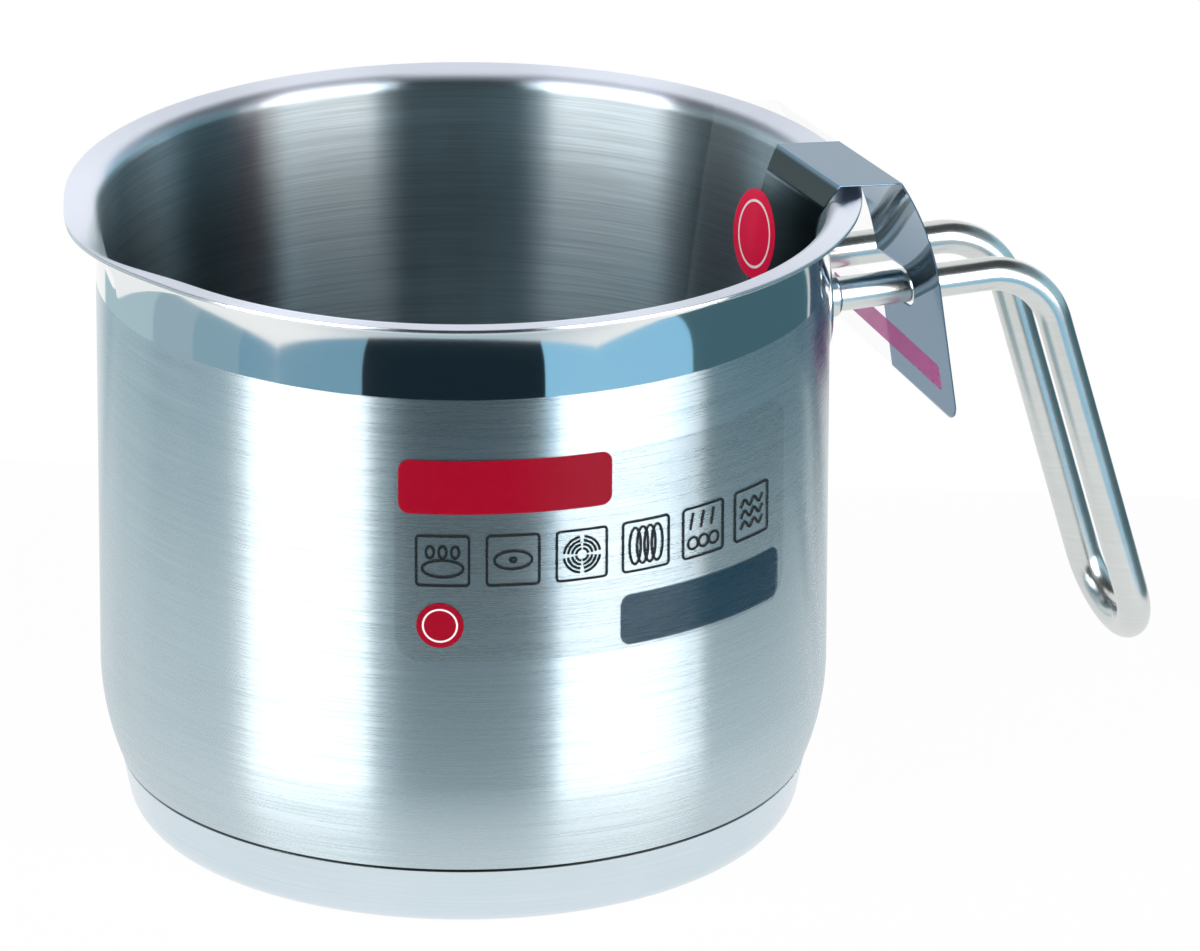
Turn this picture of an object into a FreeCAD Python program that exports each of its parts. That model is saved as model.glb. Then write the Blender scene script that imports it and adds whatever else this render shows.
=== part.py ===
import FreeCAD, Part
import math
import os
from FreeCAD import Vector

# Milk pan: a deep-drawn steel vessel with a flared lip all round and a pouring spout opposite the handle,
# a capped heat-spreading base, a loop handle bent from one rod, a clear wall label and a film sale tag
# folded over the rim.
# Millimetres and degrees, +Z up. The origin is the centre of the base's underside, handle along +X.

# Vessel sheet, drawn from the bottom up
INNER_RADIUS = 70.0        # bore of the straight wall
SHELL_SHEET = 0.8          # thickness of the drawn sheet
LIP_REACH = 6.0            # how far the lip's edge stands out from the wall
RIM_HEIGHT = 126.6         # top of the lip's edge
LIP_BEND = 2.5             # bend radius under the lip
LIP_RISE = 5.0             # angle at which the lip still climbs outwards
SPOUT_SPREAD = 44.0        # part of the rim that the pouring spout takes up
SPOUT_REACH = 1.8          # how far its edge stands out beyond the rest of the rim
SPOUT_RISE = 31.0          # angle at which the lip climbs in its middle
SPOUT_EDGE = 1.5           # straight lip beyond the bend in its middle
BELLY_HEIGHT = 32.6        # the wall is straight above this height
BELLY_RADIUS = 50.0        # arc on which the wall draws in below it
GROOVE_HEIGHT = 13.3       # seam between the wall and the base cap

# Base sandwich
CORE_THICKNESS = 5.95      # aluminium disc under the flat bottom
CORE_WRAP = 2.5            # how far the disc climbs round the vessel's bottom corner
CAP_SHEET = 0.6            # thickness of the cap that closes the disc
CAP_TAPER = 11.0           # lean of the cap's side
CAP_CORNER = 7.4           # radius of the cap's foot
GROOVE_GAP = 0.3           # height of the open seam

# Loop handle of one bent rod
ROD_DIAMETER = 6.7
ROD_SPACING = 22.8         # between the two legs' centre lines
HANDLE_BELOW_RIM = 27.2    # from the rim down to the level legs
HANDLE_REACH = 46.2        # from the wall to the corner of the bend
HANDLE_BEND = 16.2         # bend radius at the centre line
HANDLE_SLANT = 16.5        # lean of the hanging legs out of the vertical
HANDLE_CLEARANCE = 14.3    # from the table to the loop's lowest point

# Welded root of the handle
PLATE_SHEET = 1.3
PLATE_MARGIN = 5.3         # plate beyond the collars at each end
PLATE_LAND = 6.1           # plate above and below the collars
COLLAR_WALL = 0.95         # collar beyond the rod all round
COLLAR_HEIGHT = 2.2        # how far a collar stands off the plate
COLLAR_ROUND = 0.7         # rounding of its outer edge
COLLAR_CLEARANCE = 0.05    # between the collar's bore and the rod

# Clear label, centred on the straight wall
LABEL_FILM = 0.12
LABEL_GLUE = 0.02
LABEL_WIDTH = 86.9         # along the wall
LABEL_HEIGHT = 40.8
LABEL_CORNER = 5.0
LABEL_TURN = -87.3         # direction of its middle from the handle

# Film tag folded over the rim and threaded on the handle
TAG_FILM = 0.3
TAG_WIDTH = 54.0
TAG_TURN = 3.2             # it hangs a little turned about the pan's axis
TAG_SHIFT = -5.5           # and off to one side
TAG_SEAT = 0.3             # between the film and the lip's edge
TAG_OVERHANG = 1.3         # outer fold beyond the lip's edge
TAG_TILT = 6.3             # slope of the strip that lies over the rim
TAG_WALL_GAP = 0.6         # between the inner flap's edges and the wall
TAG_NECK = 3.0             # narrowing of the inner flap at each edge
TAG_NECK_DROP = 6.0        # height over which it narrows
TAG_FOLD_LAP = 2.0         # inner fold outside the inner flap's edges
TAG_STUB = 1.0             # straight film next to each fold
INNER_FLAP_LEAN = (27.0, 8.0)
INNER_FLAP_CURL = 36.0
INNER_FLAP_LENGTH = 52.0
OUTER_FLAP_LEAN = (31.5, 8.5)
OUTER_FLAP_CURL = 60.0
OUTER_FLAP_TAIL = 20.8     # film below the rods on the tag's centre line
OUTER_FLAP_SKEW = 7.0      # slope of its lower edge
TAG_CORNER = 4.0
SLOT_CLEARANCE = 0.65      # between the slot's edge and the rods

# Sizes that follow from those above
HALF_SHEET = SHELL_SHEET / 2
MID_RADIUS = INNER_RADIUS + HALF_SHEET
OUTER_RADIUS = INNER_RADIUS + SHELL_SHEET
RIM_RADIUS = OUTER_RADIUS + LIP_REACH
BOTTOM_HEIGHT = CAP_SHEET + CORE_THICKNESS
BELLY_ANGLE = math.asin((BELLY_HEIGHT - GROOVE_HEIGHT) / BELLY_RADIUS)
CORNER_RADIUS = (GROOVE_HEIGHT - BOTTOM_HEIGHT) / (1 - math.sin(BELLY_ANGLE))
GROOVE_RADIUS = OUTER_RADIUS - BELLY_RADIUS * (1 - math.cos(BELLY_ANGLE))
LIP_TURN = math.radians(90 - LIP_RISE)
LIP_RUN = (RIM_RADIUS - HALF_SHEET * math.cos(LIP_TURN) - MID_RADIUS
           - (LIP_BEND + HALF_SHEET) * (1 - math.cos(LIP_TURN))) / math.sin(LIP_TURN)
SPOUT_TURN = math.radians(90 - SPOUT_RISE)
SPOUT_STEPS = 8            # outlines from the spout's middle to where it ends on each side
SEAM_TOLERANCE = 0.001     # where the spout is joined into the rim
PLATE_RADIUS = OUTER_RADIUS + PLATE_SHEET
HANDLE_HEIGHT = RIM_HEIGHT - HANDLE_BELOW_RIM
LEG_OFFSET = ROD_SPACING / 2
ROD_RADIUS = ROD_DIAMETER / 2
COLLAR_DIAMETER = ROD_DIAMETER + 2 * COLLAR_WALL
REACH_PAST = 2 * RIM_RADIUS
CENTRE = Vector(0, 0, 0)
X_AXIS = Vector(1, 0, 0)
Y_AXIS = Vector(0, 1, 0)
Z_AXIS = Vector(0, 0, 1)


def section(start, *steps):
    """Face in the XZ plane. A step is the next point, or the middle and end points of an arc."""
    edges = []
    here = Vector(start[0], 0, start[1])
    for step in steps:
        if isinstance(step[0], tuple):
            middle, end = [Vector(x, 0, z) for x, z in step]
            edges.append(Part.Arc(here, middle, end).toShape())
        else:
            end = Vector(step[0], 0, step[1])
            edges.append(Part.makeLine(here, end))
        here = end
    edges.append(Part.makeLine(here, Vector(start[0], 0, start[1])))
    return Part.Face(Part.Wire(edges))


def spun(face, angle=360):
    """Solid of revolution about the pan's axis."""
    return face.revolve(CENTRE, Z_AXIS, angle)


def polar(centre, radius, angle):
    """Point of a circle in the XZ plane, the angle counted downwards from +X."""
    return (centre[0] + radius * math.cos(angle), centre[1] - radius * math.sin(angle))


def polar_arc(centre, radius, first, last):
    """Middle and end points of an arc between two angles counted downwards from +X."""
    return (polar(centre, radius, (first + last) / 2), polar(centre, radius, last))


def obround(length, height, z, x0, x1):
    """Prism along +X with a racetrack outline centred on the handle's plane at height z."""
    radius = height / 2
    half = length / 2 - radius
    block = Part.makeBox(x1 - x0, 2 * half, height, Vector(x0, -half, z - radius))
    ends = [Part.makeCylinder(radius, x1 - x0, Vector(x0, y, z), X_AXIS) for y in (-half, half)]
    return block.multiFuse(ends).removeSplitter()


def rounded_prism(corners, radius, x0, x1):
    """Prism along +X whose outline in (y, z) has its corners rounded where the radius is over zero."""
    edges = []
    count = len(corners)
    leaving = []
    arriving = []
    for i in range(count):
        here = Vector(0, *corners[i])
        back = (Vector(0, *corners[i - 1]) - here).normalize()
        ahead = (Vector(0, *corners[(i + 1) % count]) - here).normalize()
        half_angle = back.getAngle(ahead) / 2
        cut = radius[i] / math.tan(half_angle)
        arriving.append(here + back * cut)
        leaving.append(here + ahead * cut)
        if radius[i] > 0:
            inward = (back + ahead).normalize()
            middle = here + inward * (radius[i] / math.sin(half_angle) - radius[i])
            edges.append((i, Part.Arc(arriving[i], middle, leaving[i]).toShape()))
    for i in range(count):
        edges.append((i + 0.5, Part.makeLine(leaving[i], arriving[(i + 1) % count])))
    edges.sort(key=lambda pair: pair[0])
    face = Part.Face(Part.Wire([edge for _, edge in edges]))
    face.translate(Vector(x0, 0, 0))
    return face.extrude(Vector(x1 - x0, 0, 0))


# Vessel
def belly_centre():
    return (OUTER_RADIUS - BELLY_RADIUS, BELLY_HEIGHT)


def corner_centre():
    return polar(belly_centre(), BELLY_RADIUS - CORNER_RADIUS, BELLY_ANGLE)


def lip_steps(share, bulge):
    """Outline of the lip, from the foot of its bend outside, over the cut edge, to the foot inside.

    share is 0 on the plain rim and 1 in the spout's middle, and bulge says the same of the edge's reach.
    """
    turn = LIP_TURN + share * (SPOUT_TURN - LIP_TURN)
    run = LIP_RUN + share * (SPOUT_EDGE - LIP_RUN)
    edge_radius = RIM_RADIUS + bulge * SPOUT_REACH - HALF_SHEET * math.cos(turn)
    bend_radius = (edge_radius - run * math.sin(turn) - MID_RADIUS) / (1 - math.cos(turn))
    bend_height = RIM_HEIGHT - (HALF_SHEET + bend_radius) * math.sin(turn) - run * math.cos(turn)

    def on_bend(proud, angle):
        radius = bend_radius + proud
        return (MID_RADIUS + bend_radius - radius * math.cos(angle), bend_height + radius * math.sin(angle))

    def at_edge(proud):
        x, z = on_bend(proud, turn)
        return (x + run * math.sin(turn), z + run * math.cos(turn))

    return [
        on_bend(-HALF_SHEET, 0),
        (on_bend(-HALF_SHEET, turn / 2), on_bend(-HALF_SHEET, turn)),
        at_edge(-HALF_SHEET),
        at_edge(HALF_SHEET),
        on_bend(HALF_SHEET, turn),
        (on_bend(HALF_SHEET, turn / 2), on_bend(HALF_SHEET, 0)),
    ]


def with_spout(pot):
    """The pot with a sector of its rim exchanged for one whose lip bends wider towards the middle.

    One more outline at each end has the plain lip, so that the spout runs into the rim without a kink.
    """
    foot = lip_steps(1, 1)[0][1] - SHELL_SHEET
    step_turn = SPOUT_SPREAD / 2 / SPOUT_STEPS
    last = SPOUT_STEPS + 1
    outlines = []
    for step in range(-last, last + 1):
        aside = min(1, abs(step) / SPOUT_STEPS)
        share = (1 - aside) ** 2
        bulge = math.cos(math.pi / 2 * aside) ** 2
        face = section((OUTER_RADIUS, foot), *lip_steps(share, bulge), (INNER_RADIUS, foot))
        face.rotate(CENTRE, Z_AXIS, 180 + step_turn * step)
        outlines.append(face.OuterWire)
    wedge = Part.makeCylinder(REACH_PAST, REACH_PAST, Vector(0, 0, foot), Z_AXIS, 2 * step_turn * last)
    wedge.rotate(CENTRE, Z_AXIS, 180 - step_turn * last)
    return pot.cut(wedge).fuse(Part.makeLoft(outlines, True), SEAM_TOLERANCE)


def vessel_shell():
    """Lip with its spout, wall, drawn-in belly and bottom as one sheet."""
    belly = belly_centre()
    corner = corner_centre()
    inner_belly = BELLY_RADIUS - SHELL_SHEET
    inner_corner = CORNER_RADIUS - SHELL_SHEET
    right = math.pi / 2
    return with_spout(spun(section(
        (0, BOTTOM_HEIGHT),
        polar(corner, CORNER_RADIUS, right),
        polar_arc(corner, CORNER_RADIUS, right, BELLY_ANGLE),
        polar_arc(belly, BELLY_RADIUS, BELLY_ANGLE, 0),
        *lip_steps(0, 0),
        polar(belly, inner_belly, 0),
        polar_arc(belly, inner_belly, 0, BELLY_ANGLE),
        polar_arc(corner, inner_corner, BELLY_ANGLE, right),
        (0, BOTTOM_HEIGHT + SHELL_SHEET),
    )))


def vessel_envelope():
    """Everything inside the vessel's outer surface below its straight wall."""
    corner = corner_centre()
    right = math.pi / 2
    return spun(section(
        (0, BOTTOM_HEIGHT),
        polar(corner, CORNER_RADIUS, right),
        polar_arc(corner, CORNER_RADIUS, right, BELLY_ANGLE),
        polar_arc(belly_centre(), BELLY_RADIUS, BELLY_ANGLE, 0),
        (0, BELLY_HEIGHT),
    ))


# Base
def cap_side(inset, height):
    """Point of the cap's tapered side at a height, moved in by inset."""
    taper = math.radians(CAP_TAPER)
    return (GROOVE_RADIUS - (GROOVE_HEIGHT - height) * math.tan(taper) - inset / math.cos(taper), height)


def cap_corner(inset):
    """Centre and radius of the cap's foot, moved in by inset."""
    taper = math.radians(CAP_TAPER)
    start = cap_side(0, CAP_CORNER * (1 - math.sin(taper)))
    return (start[0] - CAP_CORNER * math.cos(taper), CAP_CORNER), CAP_CORNER - inset


def base_cap():
    """Thin cup whose side ends just under the seam."""
    taper = math.radians(CAP_TAPER)
    right = math.pi / 2
    centre, outer = cap_corner(0)
    inner = cap_corner(CAP_SHEET)[1]
    top = GROOVE_HEIGHT - GROOVE_GAP
    cup = spun(section(
        (0, 0),
        polar(centre, outer, right),
        polar_arc(centre, outer, right, taper),
        cap_side(0, top),
        cap_side(CAP_SHEET, top),
        polar(centre, inner, taper),
        polar_arc(centre, inner, taper, right),
        (0, CAP_SHEET),
    ))
    return cup.cut(vessel_envelope())


def base_core():
    """Disc that fills the cup under the vessel's bottom."""
    taper = math.radians(CAP_TAPER)
    centre, inner = cap_corner(CAP_SHEET)
    top = BOTTOM_HEIGHT + CORE_WRAP
    disc = spun(section(
        (0, CAP_SHEET),
        polar(centre, inner, math.pi / 2),
        polar_arc(centre, inner, math.pi / 2, taper),
        cap_side(CAP_SHEET, top),
        (0, top),
    ))
    return disc.cut(vessel_envelope())


# Handle
def wall_cylinder(radius):
    """Column about the pan's axis, as tall as the handle's root needs."""
    return Part.makeCylinder(radius, 2 * RIM_HEIGHT)


def handle_rod():
    """One rod: level leg, bend, hanging leg, closed end, and the same back again."""
    slant = math.radians(HANDLE_SLANT)
    down = Vector(math.sin(slant), 0, -math.cos(slant))
    lowest = HANDLE_HEIGHT - HANDLE_CLEARANCE - ROD_RADIUS
    leg = lowest / math.cos(slant) - LEG_OFFSET
    turn = math.pi / 2 - slant
    tangent = HANDLE_BEND * math.tan(turn / 2)
    bulge = HANDLE_BEND / math.cos(turn / 2) - HANDLE_BEND

    def bend_points(side):
        corner = Vector(OUTER_RADIUS + HANDLE_REACH, side * LEG_OFFSET, HANDLE_HEIGHT)
        first = corner - X_AXIS * tangent
        last = corner + down * tangent
        inward = (down - X_AXIS).normalize()
        root = Vector(INNER_RADIUS / 2, side * LEG_OFFSET, HANDLE_HEIGHT)
        return root, first, corner + inward * bulge, last, corner + down * leg

    root_a, first_a, middle_a, last_a, end_a = bend_points(1)
    root_b, first_b, middle_b, last_b, end_b = bend_points(-1)
    lowest_point = (end_a + end_b) * 0.5 + down * LEG_OFFSET
    path = Part.Wire([
        Part.makeLine(root_a, first_a),
        Part.Arc(first_a, middle_a, last_a).toShape(),
        Part.makeLine(last_a, end_a),
        Part.Arc(end_a, lowest_point, end_b).toShape(),
        Part.makeLine(end_b, last_b),
        Part.Arc(last_b, middle_b, first_b).toShape(),
        Part.makeLine(first_b, root_b),
    ])
    circle = Part.Wire([Part.makeCircle(ROD_RADIUS, root_a, X_AXIS)])
    rod = path.makePipeShell([circle], True, False)
    swept = math.pi * ROD_RADIUS ** 2 * path.Length
    print("rod volume over section times length: %.5f" % (rod.Volume / swept))
    return rod.cut(wall_cylinder(PLATE_RADIUS))


def handle_plate():
    """Curved racetrack plate on the wall behind both collars."""
    length = ROD_SPACING + COLLAR_DIAMETER + 2 * PLATE_MARGIN
    height = COLLAR_DIAMETER + 2 * PLATE_LAND
    ring = wall_cylinder(PLATE_RADIUS).cut(wall_cylinder(OUTER_RADIUS))
    return ring.common(obround(length, height, HANDLE_HEIGHT, 0, REACH_PAST))


def handle_collar(side):
    """Weld collar round one leg, seated on the plate."""
    seat = math.sqrt(PLATE_RADIUS ** 2 - LEG_OFFSET ** 2)
    root = Vector(INNER_RADIUS / 2, side * LEG_OFFSET, HANDLE_HEIGHT)
    length = seat + COLLAR_HEIGHT - root.x
    body = Part.makeCylinder(COLLAR_DIAMETER / 2, length, root, X_AXIS)
    face_edge = max(body.Edges, key=lambda edge: edge.CenterOfMass.x)
    thinnest = 0.8 * (COLLAR_WALL - COLLAR_CLEARANCE)
    body = body.makeFillet(min(COLLAR_ROUND, thinnest), [face_edge])
    bore = Part.makeCylinder(ROD_RADIUS + COLLAR_CLEARANCE, length, root, X_AXIS)
    return body.cut(bore).cut(wall_cylinder(PLATE_RADIUS))


# Label and tag
def label_film():
    """Patch of film that follows the wall, with rounded corners."""
    inner = OUTER_RADIUS + LABEL_GLUE
    outer = inner + LABEL_FILM
    spread = math.degrees(LABEL_WIDTH / outer)
    lip_foot = RIM_HEIGHT - LIP_BEND - SHELL_SHEET
    low = (BELLY_HEIGHT + lip_foot - LABEL_HEIGHT) / 2
    high = low + LABEL_HEIGHT
    patch = spun(section((inner, low), (outer, low), (outer, high), (inner, high)), spread)
    patch.rotate(CENTRE, Z_AXIS, -spread / 2)
    corner_turn = spread / 2 - math.degrees(math.asin(LABEL_CORNER / outer))
    depth = outer - INNER_RADIUS
    for side in (-1, 1):
        for z, rise in ((low + LABEL_CORNER, -1), (high - LABEL_CORNER, 1)):
            round_end = Part.makeCylinder(LABEL_CORNER, 2 * depth, Vector(INNER_RADIUS, 0, z), X_AXIS)
            block = Part.makeBox(2 * depth, 2 * LABEL_CORNER, 2 * LABEL_CORNER,
                                 Vector(INNER_RADIUS, LABEL_CORNER * (side - 1), z + LABEL_CORNER * (rise - 1)))
            waste = block.cut(round_end)
            waste.rotate(CENTRE, Z_AXIS, side * corner_turn)
            patch = patch.cut(waste)
    patch.rotate(CENTRE, Z_AXIS, LABEL_TURN)
    return patch


def crossing(point_a, along_a, point_b, along_b):
    """Where two lines in a plane meet."""
    spread = along_a[0] * along_b[1] - along_a[1] * along_b[0]
    gap = (point_b[0] - point_a[0], point_b[1] - point_a[1])
    run = (gap[0] * along_b[1] - gap[1] * along_b[0]) / spread
    return (point_a[0] + run * along_a[0], point_a[1] + run * along_a[1])


class Flap:
    """Film leaving a fold: a short straight, an arc that eases its lean, and a straight tail.

    side is 1 for film that leans away from the pan's axis and -1 for film that leans towards it.
    """

    def __init__(self, fold, side, lean, curl, drop):
        self.fold = fold
        self.side = side
        self.first, self.last = [math.radians(angle) for angle in lean]
        self.curl = curl
        stub_end = self.moved(fold, self.first, TAG_STUB, 0)
        self.centre = self.moved(stub_end, self.first, 0, -curl)
        self.tail_start = self.on_arc(self.last, 0)
        tail_run = (self.tail_start[1] - (fold[1] - drop)) / math.cos(self.last)
        self.tail_end = self.moved(self.tail_start, self.last, tail_run, 0)

    def moved(self, point, lean, along, proud):
        """Point moved down the film and off its outer face, where the film has the given lean."""
        x = point[0] + self.side * (along * math.sin(lean) + proud * math.cos(lean))
        z = point[1] - along * math.cos(lean) + proud * math.sin(lean)
        return (x, z)

    def on_arc(self, lean, proud):
        return self.moved(self.centre, lean, 0, self.curl + proud)

    def direction(self):
        return (self.side * math.sin(self.first), -math.cos(self.first))

    def face_point(self, proud):
        return self.moved(self.fold, self.first, 0, proud)

    def steps(self, proud):
        """Stub end, arc and tail of one face of the film, from the fold downwards."""
        middle = self.on_arc((self.first + self.last) / 2, proud)
        return [self.on_arc(self.first, proud),
                (middle, self.on_arc(self.last, proud)),
                self.moved(self.tail_end, self.last, 0, proud)]

    def back_steps(self, proud):
        """The same face from the tail up to the stub's end."""
        middle = self.on_arc((self.first + self.last) / 2, proud)
        return [self.on_arc(self.last, proud), (middle, self.on_arc(self.first, proud))]


def sale_tag():
    """Folded film: inner flap, strip over the rim, and outer flap with a slot for the rods."""
    tilt = math.radians(TAG_TILT)
    half_width = TAG_WIDTH / 2
    neck_half = half_width - TAG_NECK
    far_edge = abs(TAG_SHIFT) + neck_half
    chord = math.sqrt((INNER_RADIUS - TAG_WALL_GAP) ** 2 - far_edge ** 2)
    strip_slope = (math.cos(tilt), -math.sin(tilt))
    half_film = TAG_FILM / 2
    outer_x = RIM_RADIUS + TAG_OVERHANG
    outer_z = RIM_HEIGHT + TAG_SEAT + half_film / math.cos(tilt) - TAG_OVERHANG * math.tan(tilt)
    inner_x = chord + TAG_FOLD_LAP
    inner_z = outer_z + (outer_x - inner_x) * math.tan(tilt)
    skew = math.tan(math.radians(OUTER_FLAP_SKEW))
    tail_height = HANDLE_HEIGHT - OUTER_FLAP_TAIL
    inner_foot = inner_z - INNER_FLAP_LENGTH
    outer_drop = outer_z - tail_height + skew * half_width
    inner = Flap((inner_x, inner_z), -1, INNER_FLAP_LEAN, INNER_FLAP_CURL, INNER_FLAP_LENGTH)
    outer = Flap((outer_x, outer_z), 1, OUTER_FLAP_LEAN, OUTER_FLAP_CURL, outer_drop)

    def fold_corner(flap, proud):
        strip_point = (flap.fold[0] + proud * math.sin(tilt), flap.fold[1] + proud * math.cos(tilt))
        return crossing(strip_point, strip_slope, flap.face_point(proud), flap.direction())

    profile = section(
        inner.moved(inner.tail_end, inner.last, 0, half_film),
        *inner.back_steps(half_film),
        fold_corner(inner, half_film),
        fold_corner(outer, half_film),
        *outer.steps(half_film),
        outer.moved(outer.tail_end, outer.last, 0, -half_film),
        *outer.back_steps(-half_film),
        fold_corner(outer, -half_film),
        fold_corner(inner, -half_film),
        *inner.steps(-half_film),
    )
    film = profile.extrude(Y_AXIS * TAG_WIDTH)
    film.translate(Y_AXIS * -half_width)

    # Each flap is trimmed to its outline by cutting away what lies outside it.
    past = 2 * TAG_WIDTH
    neck_top = inner_z - TAG_FILM
    neck_foot = neck_top - TAG_NECK_DROP
    inner_outline = rounded_prism(
        [(-half_width, neck_top), (-neck_half, neck_foot), (-neck_half, inner_foot),
         (neck_half, inner_foot), (neck_half, neck_foot), (half_width, neck_top)],
        [0, 0, TAG_CORNER, TAG_CORNER, 0, 0], -RIM_RADIUS, inner_x + TAG_FILM)
    inner_trim = Part.makeBox(RIM_RADIUS + inner_x, 2 * past, neck_top + past,
                              Vector(-RIM_RADIUS, -past, -past))
    outline_top = outer_z - TAG_FILM
    outer_outline = rounded_prism(
        [(-half_width, outline_top), (-half_width, tail_height - skew * half_width),
         (half_width, tail_height + skew * half_width), (half_width, outline_top)],
        [0, TAG_CORNER, TAG_CORNER, 0], RIM_RADIUS, REACH_PAST)
    outer_trim = Part.makeBox(REACH_PAST - RIM_RADIUS, 2 * past, outline_top + past,
                              Vector(RIM_RADIUS, -past, -past))
    film = film.cut(inner_trim.cut(inner_outline)).cut(outer_trim.cut(outer_outline))
    film.translate(Y_AXIS * TAG_SHIFT)
    film.rotate(CENTRE, Z_AXIS, TAG_TURN)

    rod_room = ROD_DIAMETER + 2 * SLOT_CLEARANCE
    slot = obround(ROD_SPACING + rod_room, rod_room, HANDLE_HEIGHT, RIM_RADIUS, REACH_PAST)
    return film.cut(slot)


PIECES = {
    "vessel_shell": vessel_shell(),
    "base_core": base_core(),
    "base_cap": base_cap(),
    "handle_plate": handle_plate(),
    "handle_collar_near": handle_collar(-1),
    "handle_collar_far": handle_collar(1),
    "handle_rod": handle_rod(),
    "label_film": label_film(),
    "sale_tag": sale_tag(),
}

os.makedirs("parts", exist_ok=True)
for name, shape in PIECES.items():
    box = shape.BoundBox
    print("%-20s solids %d valid %s volume %9.1f  x %.1f..%.1f y %.1f..%.1f z %.1f..%.1f" % (
        name, len(shape.Solids), shape.isValid(), shape.Volume,
        box.XMin, box.XMax, box.YMin, box.YMax, box.ZMin, box.ZMax))
    shape.exportStep(os.path.join("parts", name + ".step"))
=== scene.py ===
# %% [markdown]
# # A steel milk pan, dressed for its picture
# The pan is already built as a CAD part: a drawn vessel, a capped base, a loop handle with its plate and
# collars, a clear label and a folded film tag. This lesson loads that part as a fixed frame and gives each
# piece a smooth surface and a finish. Every size is in metres, in the part's own frame, handle along +X.

# %% Load the frame
import math

import bmesh
import bpy
import numpy as np
from mathutils import Matrix, Vector


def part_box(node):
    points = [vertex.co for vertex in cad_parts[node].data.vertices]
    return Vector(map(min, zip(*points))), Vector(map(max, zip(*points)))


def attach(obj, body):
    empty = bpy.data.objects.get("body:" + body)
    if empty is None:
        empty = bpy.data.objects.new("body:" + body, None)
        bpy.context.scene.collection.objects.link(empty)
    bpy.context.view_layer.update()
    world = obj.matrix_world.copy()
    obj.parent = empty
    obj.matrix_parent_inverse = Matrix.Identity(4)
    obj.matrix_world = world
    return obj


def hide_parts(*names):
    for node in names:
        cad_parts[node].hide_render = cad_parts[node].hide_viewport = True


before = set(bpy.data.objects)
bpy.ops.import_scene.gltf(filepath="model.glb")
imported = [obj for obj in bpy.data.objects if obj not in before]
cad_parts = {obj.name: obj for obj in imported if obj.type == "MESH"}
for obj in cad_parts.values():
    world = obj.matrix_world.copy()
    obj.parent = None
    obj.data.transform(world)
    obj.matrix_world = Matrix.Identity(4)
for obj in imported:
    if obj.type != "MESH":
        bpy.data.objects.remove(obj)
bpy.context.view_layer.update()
mm = 0.001
print("frame nodes:", sorted(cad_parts))

# %% [markdown]
# ## The sizes that the pieces share
# Most sizes can be read from the frame itself: a round piece's radius is the edge of its box. Only what a
# box can't tell, such as a sheet's thickness or a bend, is given here or beside its piece.

# %% Read the sizes from the frame
vessel_low, vessel_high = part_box("vessel_shell")
cap_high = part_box("base_cap")[1]
plate_low, plate_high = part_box("handle_plate")
rod_low, rod_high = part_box("handle_rod")
label_low, label_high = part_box("label_film")

LABEL_FILM = 0.12 * mm
LABEL_GLUE = 0.02 * mm
SHEET = 0.8 * mm
RIM_RADIUS, RIM_HEIGHT = vessel_high.x, vessel_high.z
BOTTOM_HEIGHT = vessel_low.z
LABEL_RADIUS = -label_low.y
WALL_RADIUS = LABEL_RADIUS - LABEL_FILM - LABEL_GLUE
PLATE_RADIUS = plate_high.x
HANDLE_HEIGHT = (plate_low.z + plate_high.z) / 2
ROD_RADIUS = rod_high.z - HANDLE_HEIGHT
LEG_OFFSET = rod_high.y - ROD_RADIUS
print(f"wall radius {WALL_RADIUS / mm:.2f} mm, rim {RIM_RADIUS / mm:.2f} mm, rod {ROD_RADIUS / mm:.2f} mm")

# %% [markdown]
# ## The camera
# The picture is taken with a long lens from a little above the rim, so the pan's sides stay nearly
# parallel. An orbit says this best: which way round, how high, how far, and what the lens looks at.

# %% Place the camera
VIEW_AZIMUTH = math.radians(-22.502)
VIEW_ELEVATION = math.radians(20.993)
VIEW_ROLL = math.radians(0.208)
VIEW_DISTANCE = 2.3532
VIEW_AIM = Vector((24.62, -9.85, 68.15)) * mm
LENS = 363.65
SENSOR_WIDTH = 36.0


def orbit(azimuth, elevation):
    """Unit vector from the aim back to a camera: azimuth 0 stands on -Y, elevation is above the horizon."""
    flat = math.cos(elevation)
    return Vector((math.sin(azimuth) * flat, -math.cos(azimuth) * flat, math.sin(elevation)))


back = orbit(VIEW_AZIMUTH, VIEW_ELEVATION)
level = Vector((0, 0, 1)).cross(back).normalized()
upright = back.cross(level)
right = level * math.cos(VIEW_ROLL) + upright * math.sin(VIEW_ROLL)
up = upright * math.cos(VIEW_ROLL) - level * math.sin(VIEW_ROLL)
lens = bpy.data.cameras.new("long_lens")
lens.lens = LENS
lens.sensor_width = SENSOR_WIDTH
camera = bpy.data.objects.new("long_lens", lens)
turn = Matrix((right, up, back)).transposed().to_4x4()
camera.matrix_world = Matrix.Translation(VIEW_AIM + back * VIEW_DISTANCE) @ turn
bpy.context.scene.collection.objects.link(camera)
bpy.context.scene.camera = camera
bpy.context.scene.view_settings.view_transform = "Standard"
print("camera at", [round(v, 4) for v in camera.matrix_world.translation])

# %% [markdown]
# ## Two helpers: surfaces and finishes
# A surface here is a grid of points worked out with numpy, so one function turns a grid into quads. A
# finish is a small graph of shader nodes. Wrapping a socket in a class lets the graph be written as
# ordinary arithmetic, which reads better than a list of nodes and links.

# %% Grids into meshes
MERGE_DISTANCE = 0.0005 * mm
CREASE = math.radians(35)


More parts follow.
